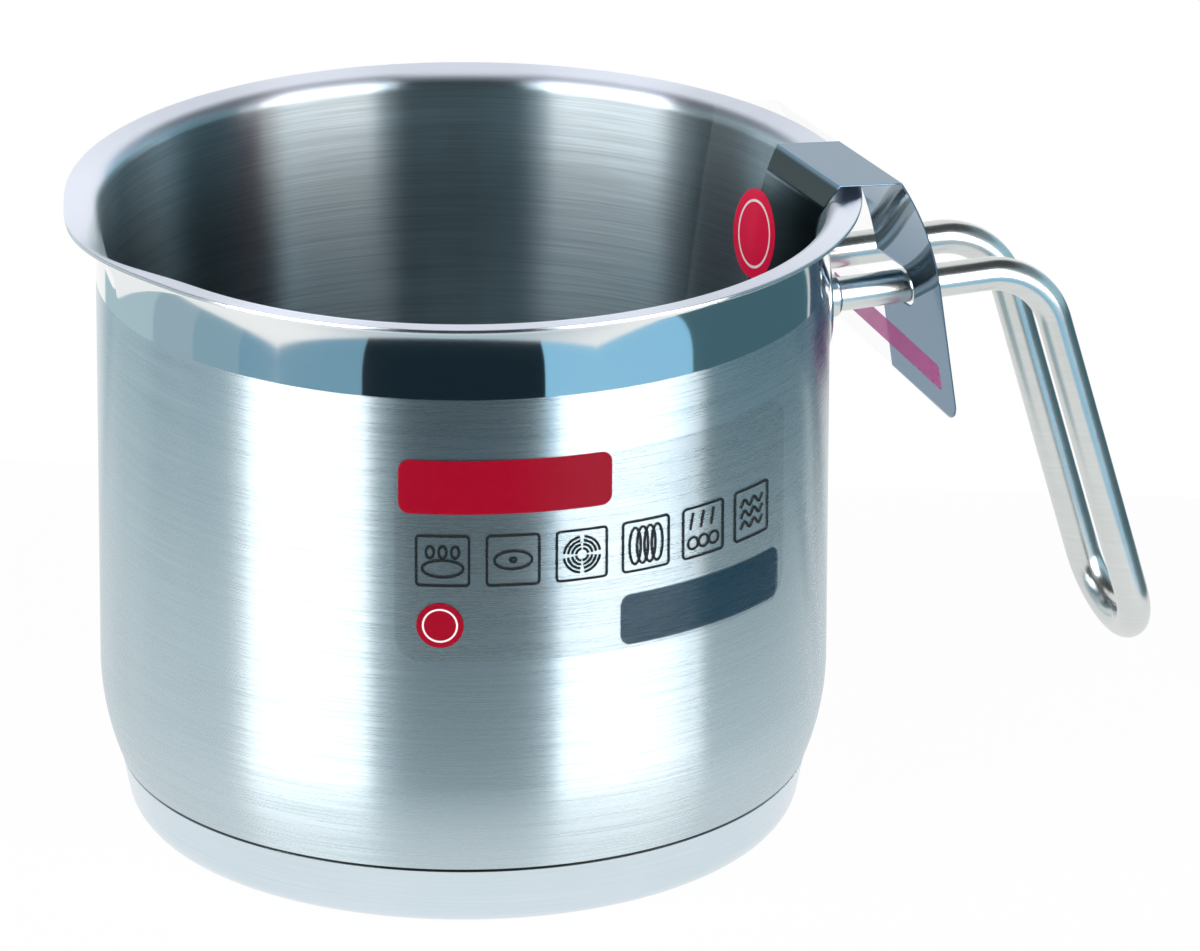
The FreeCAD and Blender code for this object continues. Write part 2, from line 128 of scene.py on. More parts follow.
def grid_faces(points, close_rows=False, close_columns=False, flip=False):
    """Quads over a (rows, columns, 3) grid. A closed direction joins its end to its start; the faces look
    along columns cross rows, or the other way when flipped."""
    rows, columns = points.shape[:2]
    index = np.arange(rows * columns).reshape(rows, columns)
    if close_rows:
        index = np.vstack([index, index[:1]])
    if close_columns:
        index = np.hstack([index, index[:, :1]])
    corners = [index[:-1, :-1], index[:-1, 1:], index[1:, 1:], index[1:, :-1]]
    if flip:
        corners.reverse()
    return points.reshape(-1, 3), np.stack(corners, -1).reshape(-1, 4)


def mesh_object(name, patches):
    """A linked mesh object made of several grids, merged where their points meet, so that seams close."""
    points, faces, start = [], [], 0
    for patch_points, patch_faces in patches:
        points.append(patch_points)
        faces.append(patch_faces + start)
        start += len(patch_points)
    mesh = bpy.data.meshes.new(name)
    mesh.from_pydata(np.vstack(points).tolist(), [], np.vstack(faces).tolist())
    shape = bmesh.new()
    shape.from_mesh(mesh)
    bmesh.ops.remove_doubles(shape, verts=shape.verts, dist=MERGE_DISTANCE)
    shape.to_mesh(mesh)
    shape.free()
    made = bpy.data.objects.new(name, mesh)
    bpy.context.scene.collection.objects.link(made)
    return made


def build(name, patches, finish, stands_for=(), crease=CREASE):
    """A finished piece: smooth, with edges sharper than the crease angle kept crisp, riding on the pan."""
    piece = mesh_object(name, patches)
    mesh = piece.data
    mesh.shade_smooth()
    mesh.set_sharp_from_angle(angle=crease)
    mesh.materials.append(finish)
    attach(piece, "root")
    if stands_for:
        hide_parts(*stands_for)
    print(f"{name}: {len(mesh.vertices)} points, {len(mesh.polygons)} faces")
    return piece


def turned(profile, steps):
    """Surface of revolution: each (radius, height) of the profile goes once round the pan's axis."""
    angle = np.linspace(0, 2 * np.pi, steps, endpoint=False)
    radius, height = np.asarray(profile).T
    points = np.stack([np.outer(radius, np.cos(angle)), np.outer(radius, np.sin(angle)),
                       np.outer(height, np.ones(steps))], -1)
    return grid_faces(points, close_columns=True)


def arc(centre, radius, first, last, count):
    """Points of a circle from one angle to another, in degrees counted up from the first axis."""
    angle = np.radians(np.linspace(first, last, count))
    return np.stack([centre[0] + radius * np.cos(angle), centre[1] + radius * np.sin(angle)], -1)


# %% Shader arithmetic
class Wire:
    """A shader value. Arithmetic on it adds Math nodes, and node() adds any other node."""

    def __init__(self, tree, socket=None):
        self.tree = tree
        self.socket = socket

    def node(self, kind, settings=None, inputs=None, output=0):
        """Adds a node, sets its settings first, then fills its sockets with values or links."""
        made = self.tree.nodes.new("ShaderNode" + kind)
        for name, value in (settings or {}).items():
            setattr(made, name, value)
        for name, value in (inputs or {}).items():
            if isinstance(value, Wire):
                self.tree.links.new(value.socket, made.inputs[name])
            else:
                made.inputs[name].default_value = value
        return Wire(self.tree, made.outputs[output] if len(made.outputs) else None)

    def math(self, operation, *values):
        """A Math node of these values."""
        return self.node("Math", {"operation": operation}, dict(enumerate(values)))

    def __add__(self, other):
        return self.math("ADD", self, other)

    def __sub__(self, other):
        return self.math("SUBTRACT", self, other)

    def __rsub__(self, other):
        return self.math("SUBTRACT", other, self)

    def __mul__(self, other):
        return self.math("MULTIPLY", self, other)

    __radd__ = __add__
    __rmul__ = __mul__

    def rising(self, low, high):
        """0 below low, 1 above high, and a smooth step between them."""
        return self.node("MapRange", {"interpolation_type": "SMOOTHSTEP"},
                         {"Value": self, "From Min": low, "From Max": high})

    def mix(self, first, second):
        """Colour that goes from the first to the second as this value goes from 0 to 1."""
        return self.node("Mix", {"data_type": "RGBA"}, {"Factor": self, 6: first, 7: second}, 2)

    def stretched(self, x, y, z):
        """A vector's parts, each times a number."""
        return self.node("VectorMath", {"operation": "MULTIPLY"}, {0: self, 1: (x, y, z)})

    def noise(self, scale, detail=2.0, roughness=0.5):
        """Soft random value about a half at this place."""
        return self.node("TexNoise", {}, {"Vector": self, "Scale": scale, "Detail": detail,
                                         "Roughness": roughness})

    def parts(self):
        """The x, y and z of a vector."""
        split = self.node("SeparateXYZ", {}, {"Vector": self}).socket.node
        return [Wire(self.tree, out) for out in split.outputs]


def start_finish(name):
    """A new material with an empty graph, and the place on the piece in metres."""
    material = bpy.data.materials.new(name)
    material.use_nodes = True
    material.node_tree.nodes.clear()
    return material, Wire(material.node_tree).node("TexCoord", output=3)


def end_finish(material, place, shader):
    """Sends a shader to the material's surface."""
    place.node("OutputMaterial", {}, {"Surface": shader})
    return material


print("helpers ready")

# %% [markdown]
# ## The studio
# Polished steel has no colour of its own: it shows the room. So the room is the main thing to get right.
# The pan stands on a small white board, two tall soft lights stand left and right of the camera, and the
# space between them, behind the camera, is dark. Dim bluish screens below and beside the lights give the
# polished steel its cool tones. Each light or screen is an arc of a big drum round the pan. They glow into
# the steel but stay out of the camera's sight, and the plain white world lies behind.

# %% Directions in the studio
CAMERA_TURN = math.atan2(camera.matrix_world.translation.y, camera.matrix_world.translation.x)
DRUM_RADIUS = 1.6
DRUM_MIDDLE = 100 * mm
DRUM_STEPS = 25
WHITE = (1.0, 1.0, 1.0, 1.0)


def drum_screen(name, turns, rises, colour, strength):
    """An arc of the studio drum, between two angles from the camera's direction and two elevations, in
    degrees, as seen from the pan. Points are (R cos turn, R sin turn, middle + R tan rise)."""
    turn = CAMERA_TURN + np.radians(np.linspace(*turns, DRUM_STEPS))
    rise = DRUM_MIDDLE + DRUM_RADIUS * np.tan(np.radians(np.array(rises)))
    x, y = DRUM_RADIUS * np.cos(turn), DRUM_RADIUS * np.sin(turn)
    points = np.stack(np.broadcast_arrays(x, y, rise[:, None]), -1)
    screen = mesh_object(name, [grid_faces(points, flip=True)])
    material, place = start_finish(name)
    glow = place.node("Emission", {}, {"Color": (*colour, 1.0), "Strength": strength})
    screen.data.materials.append(end_finish(material, place, glow))
    screen.visible_camera = False


# %% Lights and screens round the pan
LOW_RISE = (-3, 6)
UPPER_RISE = (LOW_RISE[1], 18)
LIGHT_RISE = (LOW_RISE[0], UPPER_RISE[1])
HIGH_RISE = (LIGHT_RISE[1], 36)
UNDER_RISE = (-50, LIGHT_RISE[0])
DARK_RISE = (LIGHT_RISE[0], HIGH_RISE[1])
CEILING_RISE = (HIGH_RISE[1], 80)
LIGHT_COLOUR = (1.0, 0.90, 0.86)
HIGH_COLOUR = (0.88, 0.95, 1.0)
COOL_EDGE = (0.60, 0.88, 1.0)
SIDE_COLOUR = (0.52, 0.84, 1.0)
HIGH_SIDE_COLOUR = (0.70, 0.90, 1.0)
drum_screen("soft_light_right", (28, 76), LOW_RISE, LIGHT_COLOUR, 11.0)
drum_screen("soft_light_right_upper", (28, 68), UPPER_RISE, LIGHT_COLOUR, 7.8)
drum_screen("soft_light_left", (-68, -28), LIGHT_RISE, LIGHT_COLOUR, 8.6)
drum_screen("soft_fade_left", (-73, -68), LIGHT_RISE, LIGHT_COLOUR, 3.0)
drum_screen("soft_edge_right", (24, 28), LIGHT_RISE, COOL_EDGE, 0.4)
drum_screen("soft_edge_left", (-28, -21), LIGHT_RISE, COOL_EDGE, 0.4)
drum_screen("high_light_right", (22, 64), HIGH_RISE, HIGH_COLOUR, 5.4)
drum_screen("high_light_left", (-71, -26), HIGH_RISE, HIGH_COLOUR, 8.6)
drum_screen("high_edge_left", (-26, -20), HIGH_RISE, HIGH_COLOUR, 3.2)
drum_screen("under_light_right", (25, 75), UNDER_RISE, (0.34, 0.72, 1.0), 0.80)
drum_screen("under_light_left", (-73, -31), UNDER_RISE, (0.38, 0.75, 1.0), 0.46)
drum_screen("dark_middle", (-21, 24), DARK_RISE, (0.35, 0.75, 1.0), 0.05)
drum_screen("dark_under", (-31, 25), UNDER_RISE, (0.30, 0.68, 1.0), 0.03)
drum_screen("side_screen_right", (76, 150), LOW_RISE, SIDE_COLOUR, 0.78)
drum_screen("side_screen_right_upper", (68, 150), UPPER_RISE, SIDE_COLOUR, 0.78)
drum_screen("side_screen_left", (-150, -73), LIGHT_RISE, (0.90, 0.99, 1.0), 0.88)
drum_screen("high_side_right", (64, 150), HIGH_RISE, HIGH_SIDE_COLOUR, 0.30)
drum_screen("high_side_left", (-150, -71), HIGH_RISE, HIGH_SIDE_COLOUR, 0.25)
drum_screen("under_side_right", (75, 150), UNDER_RISE, (0.34, 0.79, 1.0), 0.17)
drum_screen("under_side_left", (-92, -73), UNDER_RISE, (0.51, 0.82, 1.0), 0.48)
drum_screen("under_side_wide", (-112, -92), UNDER_RISE, (0.62, 0.86, 1.0), 0.52)
drum_screen("under_side_far", (-150, -112), UNDER_RISE, (0.68, 0.91, 1.0), 0.62)
drum_screen("ceiling_front", (-150, 150), CEILING_RISE, (0.85, 0.93, 1.0), 0.06)

world = bpy.data.worlds.new("white_room")
bpy.context.scene.world = world
world.use_nodes = True
world.node_tree.nodes["Background"].inputs["Color"].default_value = WHITE
world.node_tree.nodes["Background"].inputs["Strength"].default_value = 1.0

# %% [markdown]
# The board is a diffuse card that also glows. To the lens the glow is almost all of it, so it stays white
# and takes only a trace of shadow. In the steel's reflections it glows less, and it is shaded in front of
# the pan.

# %% The white board under the pan
BOARD_STEPS = 9
BOARD_WIDTH = 455.0 * mm
BOARD_DEPTH = 394.0 * mm
BOARD_TURN = math.radians(5.1)
BOARD_AHEAD = 17.0 * mm
BOARD_ASIDE = -27.0 * mm
BOARD_DROP = 0.1 * mm
BOARD_COLOUR = (0.80, 0.80, 0.80, 1.0)
BOARD_GLOW = 0.97
BOARD_MIRRORED = 0.85
BOARD_SHADE = (0.38, 0.51, 0.58, 1.0)
SHADE_ASIDE = (20 * mm, 200 * mm)
SHADE_AHEAD = (70 * mm, 170 * mm)

ahead = Vector((math.cos(CAMERA_TURN), math.sin(CAMERA_TURN), 0))
aside = Vector((-math.sin(CAMERA_TURN), math.cos(CAMERA_TURN), 0))
board_right = aside * math.cos(BOARD_TURN) + ahead * math.sin(BOARD_TURN)
board_front = ahead * math.cos(BOARD_TURN) - aside * math.sin(BOARD_TURN)
board_middle = np.array(ahead * BOARD_AHEAD + aside * BOARD_ASIDE) - (0, 0, BOARD_DROP)
share = np.linspace(-0.5, 0.5, BOARD_STEPS)
across = share[None, :, None] * np.array(board_right * BOARD_WIDTH)
along = share[:, None, None] * np.array(board_front * BOARD_DEPTH)
board = mesh_object("white_board", [grid_faces(board_middle + across - along, flip=True)])
board_finish, place = start_finish("white_board")
sight = place.node("LightPath")
camera_ray, glossy_ray, clear_ray = [Wire(place.tree, sight.socket.node.outputs[name])
                                     for name in ("Is Camera Ray", "Is Glossy Ray", "Is Transmission Ray")]
plain_sight = place.math("MAXIMUM", camera_ray, clear_ray)
glow_share = place.math("MAXIMUM", plain_sight * BOARD_GLOW, glossy_ray * BOARD_MIRRORED)
x, y = place.parts()[:2]
off_middle = place.math("ABSOLUTE", x * aside.x + y * aside.y)
in_front = (1 - off_middle.rising(*SHADE_ASIDE)) * (x * ahead.x + y * ahead.y).rising(*SHADE_AHEAD)
card = place.node("BsdfDiffuse", {}, {"Color": BOARD_COLOUR})
board_tone = (glossy_ray * in_front).mix(WHITE, BOARD_SHADE)
glow = place.node("Emission", {}, {"Color": board_tone, "Strength": 1.0})
lit = place.node("MixShader", {}, {0: glow_share, 1: card, 2: glow})
board.data.materials.append(end_finish(board_finish, place, lit))
print(f"board {BOARD_WIDTH / mm:.0f} by {BOARD_DEPTH / mm:.0f} mm")

# %% [markdown]
# ## Brushed and polished steel
# A belt sander leaves fine scratches round the wall. They blur what the steel mirrors up and down but
# hardly sideways, which is why lights show as upright bands. Cycles does this with anisotropic roughness;
# its own tangent runs round the object's axis, and a quarter turn sets the blur upright. Streaks of noise,
# long round the wall and a fraction of a millimetre high, then vary the tone, the roughness and the slope.
# Inside, the streaks show more, and painted shade darkens the steel below the rim, clearing again towards
# the bottom.

# %% Steel finishes
QUARTER_TURN = 0.25
POLISH_LINE = 110.4 * mm
SEAM_HEIGHT = cap_high.z
# Near-black colour painted into the seam under the cap's edge as shade.
SEAM_SHADE = (0.010, 0.012, 0.013, 1)
BLACK = (0, 0, 0, 1)
BRUSHED_DARK = (0.42, 0.51, 0.54, 1)
BRUSHED_PALE = (0.67, 0.78, 0.83, 1)
POLISHED = (0.84, 0.86, 0.86, 1)
LIP_REFLECTION_TONE = (0.80, 0.85, 0.96, 1)
FINE_STREAK = (30 * mm, 0.42 * mm)
BROAD_STREAK = (110 * mm, 1.4 * mm)
FINE_SHARE = 0.8
INNER_CONTRAST = 1.2
POLISH_FADE = 0.12 * mm
LIP_TOP = (RIM_HEIGHT - 2.6 * mm, RIM_HEIGHT - 1.2 * mm)
CUT_EDGE = (RIM_HEIGHT - 1.0 * mm, RIM_HEIGHT - 0.7 * mm)
SEAM_SHADE_TOP = (SEAM_HEIGHT + 0.35 * mm, SEAM_HEIGHT + 0.5 * mm)
DEEP_LOWER = (30 * mm, 75 * mm)
DEEP_UPPER = (98 * mm, 120 * mm)
INNER_SHADE, DEEP_SHADE = 0.06, 0.34
OUTER_ROUGH, OUTER_SPREAD = 0.22, 0.11
INNER_ROUGH, INNER_SPREAD = 0.278, 0.02
POLISHED_ROUGH, POLISHED_SPREAD = 0.05, 0.03
CUT_EDGE_ROUGH = 0.2
SCRATCH_DEPTH = 0.01 * mm
SCRATCH_STRENGTH = 0.15
INNER_SCRATCH = 0.5


def streaks(place, length, height, detail=3.0):
    """Noise drawn out round the wall: patches of the given length round and height up."""
    return place.stretched(1 / length, 1 / length, 1 / height).noise(1.0, detail, 0.6)


def vessel_steel():
    """Brushed inside and out, mirror-polished above the polish line outside, satin on top of the lip."""
    material, place = start_finish("vessel_steel")
    z = place.parts()[2]
    inner = place.node("Attribute", {"attribute_name": "inner_face"}, output="Fac")
    polished = (1 - inner) * z.rising(POLISH_LINE - POLISH_FADE, POLISH_LINE + POLISH_FADE)
    brushed = 1 - polished
    lip = inner * z.rising(*LIP_TOP)
    fine = streaks(place, *FINE_STREAK, 4.0)
    broad = streaks(place, *BROAD_STREAK, 2.0)
    grain = FINE_SHARE * fine + (1 - FINE_SHARE) * broad
    contrast = 1.0 + INNER_CONTRAST * inner
    brushed_tone = (0.5 + (grain - 0.5) * contrast).mix(BRUSHED_DARK, BRUSHED_PALE)
    # Painted shade inside the pot: the inner steel is darkened a little everywhere and most in a band from
    # about 30 to 120 mm up.
    deep = z.rising(*DEEP_LOWER) - z.rising(*DEEP_UPPER)
    shaded_bowl_tone = (inner * (INNER_SHADE + DEEP_SHADE * deep)).mix(brushed_tone, BLACK)
    # Painted reflection: the top of the lip takes a lavender tone that stands for the bright room it
    # mirrors.
    tone = lip.mix(polished.mix(shaded_bowl_tone, POLISHED), LIP_REFLECTION_TONE)
    edge = (1 - inner) * z.rising(*CUT_EDGE)
    outside = OUTER_ROUGH + OUTER_SPREAD * grain
    inside = INNER_ROUGH + INNER_SPREAD * grain
    mirror = POLISHED_ROUGH + POLISHED_SPREAD * fine
    drawn = outside * (1 - inner) + inside * inner
    rough = polished * mirror + brushed * drawn + CUT_EDGE_ROUGH * edge
    slope = place.node("Bump", {}, {"Strength": SCRATCH_STRENGTH, "Distance": SCRATCH_DEPTH,
                                    "Height": fine * brushed * (1 - INNER_SCRATCH * inner)})
    # Painted shade in the seam: the outer wall below the cap's edge, seen only through the gap, is painted
    # near black.
    seam_shade = 1 - z.rising(*SEAM_SHADE_TOP) * (1 - inner) - inner
    steel = place.node("BsdfPrincipled", {}, {
        "Base Color": seam_shade.mix(tone, SEAM_SHADE), "Metallic": 1.0, "Roughness": rough, "Normal": slope,
        "Anisotropic": 1.0, "Anisotropic Rotation": QUARTER_TURN})
    return end_finish(material, place, steel)


def satin_steel(name, dark, pale, rough):
    """Evenly polished metal with a faint grain round the axis."""
    material, place = start_finish(name)
    grain = streaks(place, 30 * mm, 0.4 * mm)
    cloud = place.noise(60.0, 3.0)
    steel = place.node("BsdfPrincipled", {}, {
        "Base Color": (0.5 + (grain - 0.5) * 0.8 + (cloud - 0.5) * 0.5).mix((*dark, 1), (*pale, 1)),
        "Metallic": 1.0, "Roughness": rough * (0.8 + 0.4 * cloud)})
    return end_finish(material, place, steel)


wall_finish = vessel_steel()
cap_finish = satin_steel("cap_steel", (0.58, 0.68, 0.74), (0.70, 0.78, 0.83), 0.20)
handle_finish = satin_steel("handle_steel", (0.60, 0.63, 0.62), (0.74, 0.76, 0.74), 0.24)
core_finish = satin_steel("core_aluminium", (0.70, 0.70, 0.71), (0.80, 0.80, 0.81), 0.4)
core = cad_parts["base_core"]
core.data.materials.clear()
core.data.materials.append(core_finish)
print("steel finishes made")

# %% [markdown]
# ## The vessel
# One round of sheet steel is drawn into a pot: a flat bottom, a tight corner, a belly that swings out to
# the straight wall, and a bend into the flared lip. Opposite the handle the bend opens wide and makes a
# pouring spout. The sheet is a grid with one column for each direction round the pan. The lower rows are
# the same in all columns; the lip's rows follow the column's own bend, so the spout needs no extra piece.

# %% The lip in each direction round the pan
BELLY_HEIGHT = 32.6 * mm
BELLY_RADIUS = 50.0 * mm
GROOVE_HEIGHT = 13.3 * mm
LIP_BEND = 2.5 * mm
LIP_TURN = math.radians(90 - 5.0)
SPOUT_SPREAD = math.radians(44.0)
SPOUT_REACH = 1.8 * mm
SPOUT_TURN = math.radians(90 - 31.0)
SPOUT_EDGE = 1.5 * mm
SPOUT_TIP = 0.12
ROUND_STEPS = 384
CROWDING = 0.4

MID_RADIUS = WALL_RADIUS - SHEET / 2
lip_run = (RIM_RADIUS - SHEET / 2 * math.cos(LIP_TURN) - MID_RADIUS
           - (LIP_BEND + SHEET / 2) * (1 - math.cos(LIP_TURN))) / math.sin(LIP_TURN)
even_turn = np.linspace(0, 2 * np.pi, ROUND_STEPS, endpoint=False)
column_turn = even_turn + CROWDING * np.sin(even_turn)
from_spout = np.abs(column_turn - np.pi) / (SPOUT_SPREAD / 2)
spout_share = (1 - np.clip(np.hypot(from_spout, SPOUT_TIP) - SPOUT_TIP, 0, 1)) ** 2
bulge = np.cos(np.pi / 2 * np.clip(from_spout, 0, 1)) ** 2
turn = LIP_TURN + spout_share * (SPOUT_TURN - LIP_TURN)
run = lip_run + spout_share * (SPOUT_EDGE - lip_run)
edge_radius = RIM_RADIUS + bulge * SPOUT_REACH - SHEET / 2 * np.cos(turn)
bend = (edge_radius - run * np.sin(turn) - MID_RADIUS) / (1 - np.cos(turn))
bend_height = RIM_HEIGHT - (SHEET / 2 + bend) * np.sin(turn) - run * np.cos(turn)
print(f"bend radius {bend.min() / mm:.2f} to {bend.max() / mm:.2f} mm, "
      f"foot from {bend_height.min() / mm:.1f} mm")

# %% Lay the sheet
FLAT_ROWS = 12
CORNER_ROWS = 20
BELLY_ROWS = 16
WALL_ROWS = 32
WALL_CROWDING = 2.2
BEND_ROWS = 26
LIP_ROWS = 6
EDGE_ROWS = 10
EDGE_ROUND = 0.22 * mm
EASE_FROM = 112.8 * mm
EASE = 0.56 * mm
EASE_POWER = 3.3
EASE_FADE = 1.1 * mm
EASE_OUT = (72.6 * mm, 76.0 * mm)

belly_angle = math.degrees(math.asin((BELLY_HEIGHT - GROOVE_HEIGHT) / BELLY_RADIUS))
corner_radius = (GROOVE_HEIGHT - BOTTOM_HEIGHT) / (1 - math.sin(math.radians(belly_angle)))
belly_centre = np.array([WALL_RADIUS - BELLY_RADIUS, BELLY_HEIGHT])
corner_centre = arc(belly_centre, BELLY_RADIUS - corner_radius, -belly_angle, -belly_angle, 1)[0]


def steps(count, power=1.0):
    """A column of numbers from 0 to 1, closer together near 1 for a power over 1."""
    return 1 - (1 - np.linspace(0, 1, count)[:, None]) ** power


def along_lip(run_share, proud):
    """Place on the straight lip: the bend's end moved along the lip and off the sheet's middle."""
    out = MID_RADIUS + bend - (bend + proud) * np.cos(turn) + run_share * np.sin(turn)
    return out, bend_height + (bend + proud) * np.sin(turn) + run_share * np.cos(turn)


def sheet_face(proud):
    """One face of the sheet, from the axis to the start of the lip's cut edge, as radius and height grids.
    proud is half the sheet inwards and up, or minus half outwards and down."""
    inset = SHEET / 2 + proud
    flat = np.linspace((0, BOTTOM_HEIGHT + inset), (corner_centre[0], BOTTOM_HEIGHT + inset), FLAT_ROWS)
    corner = arc(corner_centre, corner_radius - inset, -90, -belly_angle, CORNER_ROWS)
    belly = arc(belly_centre, BELLY_RADIUS - inset, -belly_angle, 0, BELLY_ROWS)
    low = np.vstack([flat[:-1], corner[:-1], belly[:-1]])
    whole = np.ones(ROUND_STEPS)
    wall_height = BELLY_HEIGHT + steps(WALL_ROWS, WALL_CROWDING)[:-1] * (bend_height - BELLY_HEIGHT)
    wall = np.full_like(wall_height, WALL_RADIUS - inset)
    bend_turn = steps(BEND_ROWS)[:-1] * turn
    bent = MID_RADIUS + bend - (bend + proud) * np.cos(bend_turn)
    bent_height = bend_height + (bend + proud) * np.sin(bend_turn)
    lip, lip_height = along_lip(steps(LIP_ROWS) * (run - EDGE_ROUND), proud)
    radius = np.vstack([low[:, :1] * whole, wall, bent, lip])
    return radius, np.vstack([low[:, 1:] * whole, wall_height, bent_height, lip_height])


edge_turn = np.radians(np.linspace(-90, 90, EDGE_ROWS))[:, None]
edge_middle = np.sign(edge_turn) * (SHEET / 2 - EDGE_ROUND)
edge = along_lip(run - EDGE_ROUND * (1 - np.cos(edge_turn)), edge_middle + EDGE_ROUND * np.sin(edge_turn))
under, over = sheet_face(-SHEET / 2), sheet_face(SHEET / 2)
radius, height = [np.vstack([u[:-1], e, o[::-1][1:]]) for u, e, o in zip(under, edge, over)]

# The wall eases out a little under the lip, more steeply towards the bend, and on its outer face only.
ease_length = bend_height.max() - EASE_FROM
ease_slope = EASE_POWER * EASE / ease_length
past_bend = np.clip(height - bend_height.max(), 0, EASE_FADE)
easing = EASE * np.clip((height - EASE_FROM) / ease_length, 0, 1) ** EASE_POWER
easing = easing + ease_slope * past_bend * (1 - past_bend / (2 * EASE_FADE))
easing = easing * np.clip((EASE_OUT[1] - radius) / (EASE_OUT[1] - EASE_OUT[0]), 0, 1)
outer_rows = (np.arange(len(radius)) < len(under[0]))[:, None]
radius = radius + easing * outer_rows * (1 - spout_share)
sheet = np.stack([radius * np.cos(column_turn), radius * np.sin(column_turn), height], -1)
vessel = build("vessel", [grid_faces(sheet, close_columns=True)], wall_finish,
               ["vessel_shell"])

# %% Mark the faces that look into the pan
faces = len(vessel.data.polygons)
normal, centre = np.empty(3 * faces), np.empty(3 * faces)
vessel.data.polygons.foreach_get("normal", normal)
vessel.data.polygons.foreach_get("center", centre)
normal, centre = normal.reshape(-1, 3), centre.reshape(-1, 3)
outward = (normal[:, :2] * centre[:, :2]).sum(1) / np.linalg.norm(centre[:, :2], axis=1)
inner_face = vessel.data.attributes.new("inner_face", "FLOAT", "FACE")
inner_face.data.foreach_set("value", (normal[:, 2] > outward).astype(np.float32))
print(f"{(normal[:, 2] > outward).sum()} of {faces} faces look into the pan")

# %% [markdown]
# ## The base cap
# Under the pan a thin steel cup closes the heat-spreading disc. Its side tapers to a rounded foot, and a
# fine seam is left where it meets the wall, with shade painted dark into it on the wall's steel. It is
# another turned profile, out along the foot, up the side and back down inside.

# %% Turn the base cap
CAP_SHEET = 0.6 * mm
CAP_TAPER = 11.0
CAP_CORNER = 7.4 * mm
FOOT_ROWS = 14
CAP_CORNER_ROWS = 20
CAP_INNER_ROWS = 12

taper = math.radians(CAP_TAPER)
groove_radius = belly_centre[0] + BELLY_RADIUS * math.cos(math.radians(belly_angle))


def cap_side(inset, height):
    """Point of the cap's tapered side at a height, moved in by inset."""
    radius = groove_radius - (GROOVE_HEIGHT - height) * math.tan(taper) - inset / math.cos(taper)
    return np.array([radius, height])


foot_start = cap_side(0, CAP_CORNER * (1 - math.sin(taper)))
foot_centre = np.array([foot_start[0] - CAP_CORNER * math.cos(taper), CAP_CORNER])
cap_edge = np.vstack([cap_side(0, SEAM_HEIGHT - EDGE_ROUND),
                      cap_side(EDGE_ROUND, SEAM_HEIGHT),
                      cap_side(CAP_SHEET / 2, SEAM_HEIGHT)])
foot = np.linspace((0, 0), (foot_centre[0], 0), FOOT_ROWS)
cap_profile = np.vstack([
    foot[:-1],
    arc(foot_centre, CAP_CORNER, -90, -CAP_TAPER, CAP_CORNER_ROWS),
    cap_edge,
    arc(foot_centre, CAP_CORNER - CAP_SHEET, -CAP_TAPER, -90, CAP_INNER_ROWS),
    [(0, CAP_SHEET)],
])
build("base_cup", [turned(cap_profile, ROUND_STEPS)], cap_finish, ["base_cap"])

# %% [markdown]
# ## The loop handle
# One polished rod leaves the wall level, bends down, closes in a half round and comes back. A tube is a
# circle carried along that path: at each point a side vector and its cross with the path's direction span
# the circle, so the path is worked out leg by leg with the side vector that suits each leg.

# %% Carry a circle along the handle's path
HANDLE_SLANT = math.radians(16.5)
HANDLE_BEND = 16.2 * mm
ROD_SIDES = 56
LEG_STEPS = 14
BEND_STEPS = 40
ROD_SINK = 0.3 * mm

down = np.array([math.sin(HANDLE_SLANT), 0, -math.cos(HANDLE_SLANT)])
x_axis, y_axis = np.array([1.0, 0, 0]), np.array([0, 1.0, 0])
drop = HANDLE_HEIGHT - rod_low.z - ROD_RADIUS
corner_x = rod_high.x - ROD_RADIUS - drop * math.tan(HANDLE_SLANT)
leg_length = drop / math.cos(HANDLE_SLANT) - LEG_OFFSET
bend_turn = math.pi / 2 - HANDLE_SLANT
bend_tangent = HANDLE_BEND * math.tan(bend_turn / 2)
rod_root = math.sqrt(PLATE_RADIUS ** 2 - LEG_OFFSET ** 2) - ROD_SINK


def line_points(start, end, count):
    """Evenly spaced points from start to end."""
    return np.asarray(start) + np.linspace(0, 1, count)[:, None] * (np.asarray(end) - np.asarray(start))


def handle_leg(side):
    """Path of one leg from the wall to the start of the closed end: level run, bend and hanging run."""
    corner = np.array([corner_x, side * LEG_OFFSET, HANDLE_HEIGHT])
    first = corner - x_axis * bend_tangent
    turn = np.linspace(0, bend_turn, BEND_STEPS)[:, None]
    bend = first + HANDLE_BEND * (np.sin(turn) * x_axis - (1 - np.cos(turn)) * np.array([0, 0, 1.0]))
    return np.vstack([line_points((rod_root, side * LEG_OFFSET, HANDLE_HEIGHT), first, LEG_STEPS)[:-1], bend,
                      line_points(corner + down * bend_tangent, corner + down * leg_length, LEG_STEPS)[1:]])


def tube(path, side, radius, sides):
    """Circle carried along a path: point + radius (cos a side + sin a (direction x side)). Its ends are
    closed."""
    direction = np.gradient(path, axis=0)
    direction /= np.linalg.norm(direction, axis=1)[:, None]
    other = np.cross(direction, side)
    angle = np.linspace(0, 2 * np.pi, sides, endpoint=False)
    rings = (path[:, None] + radius * (np.cos(angle)[None, :, None] * side[:, None]
                                       + np.sin(angle)[None, :, None] * other[:, None]))
    ends = [np.repeat(path[i][None, None], sides, 1) for i in (0, -1)]
    return grid_faces(np.vstack([ends[0], rings, ends[1]]), close_columns=True)


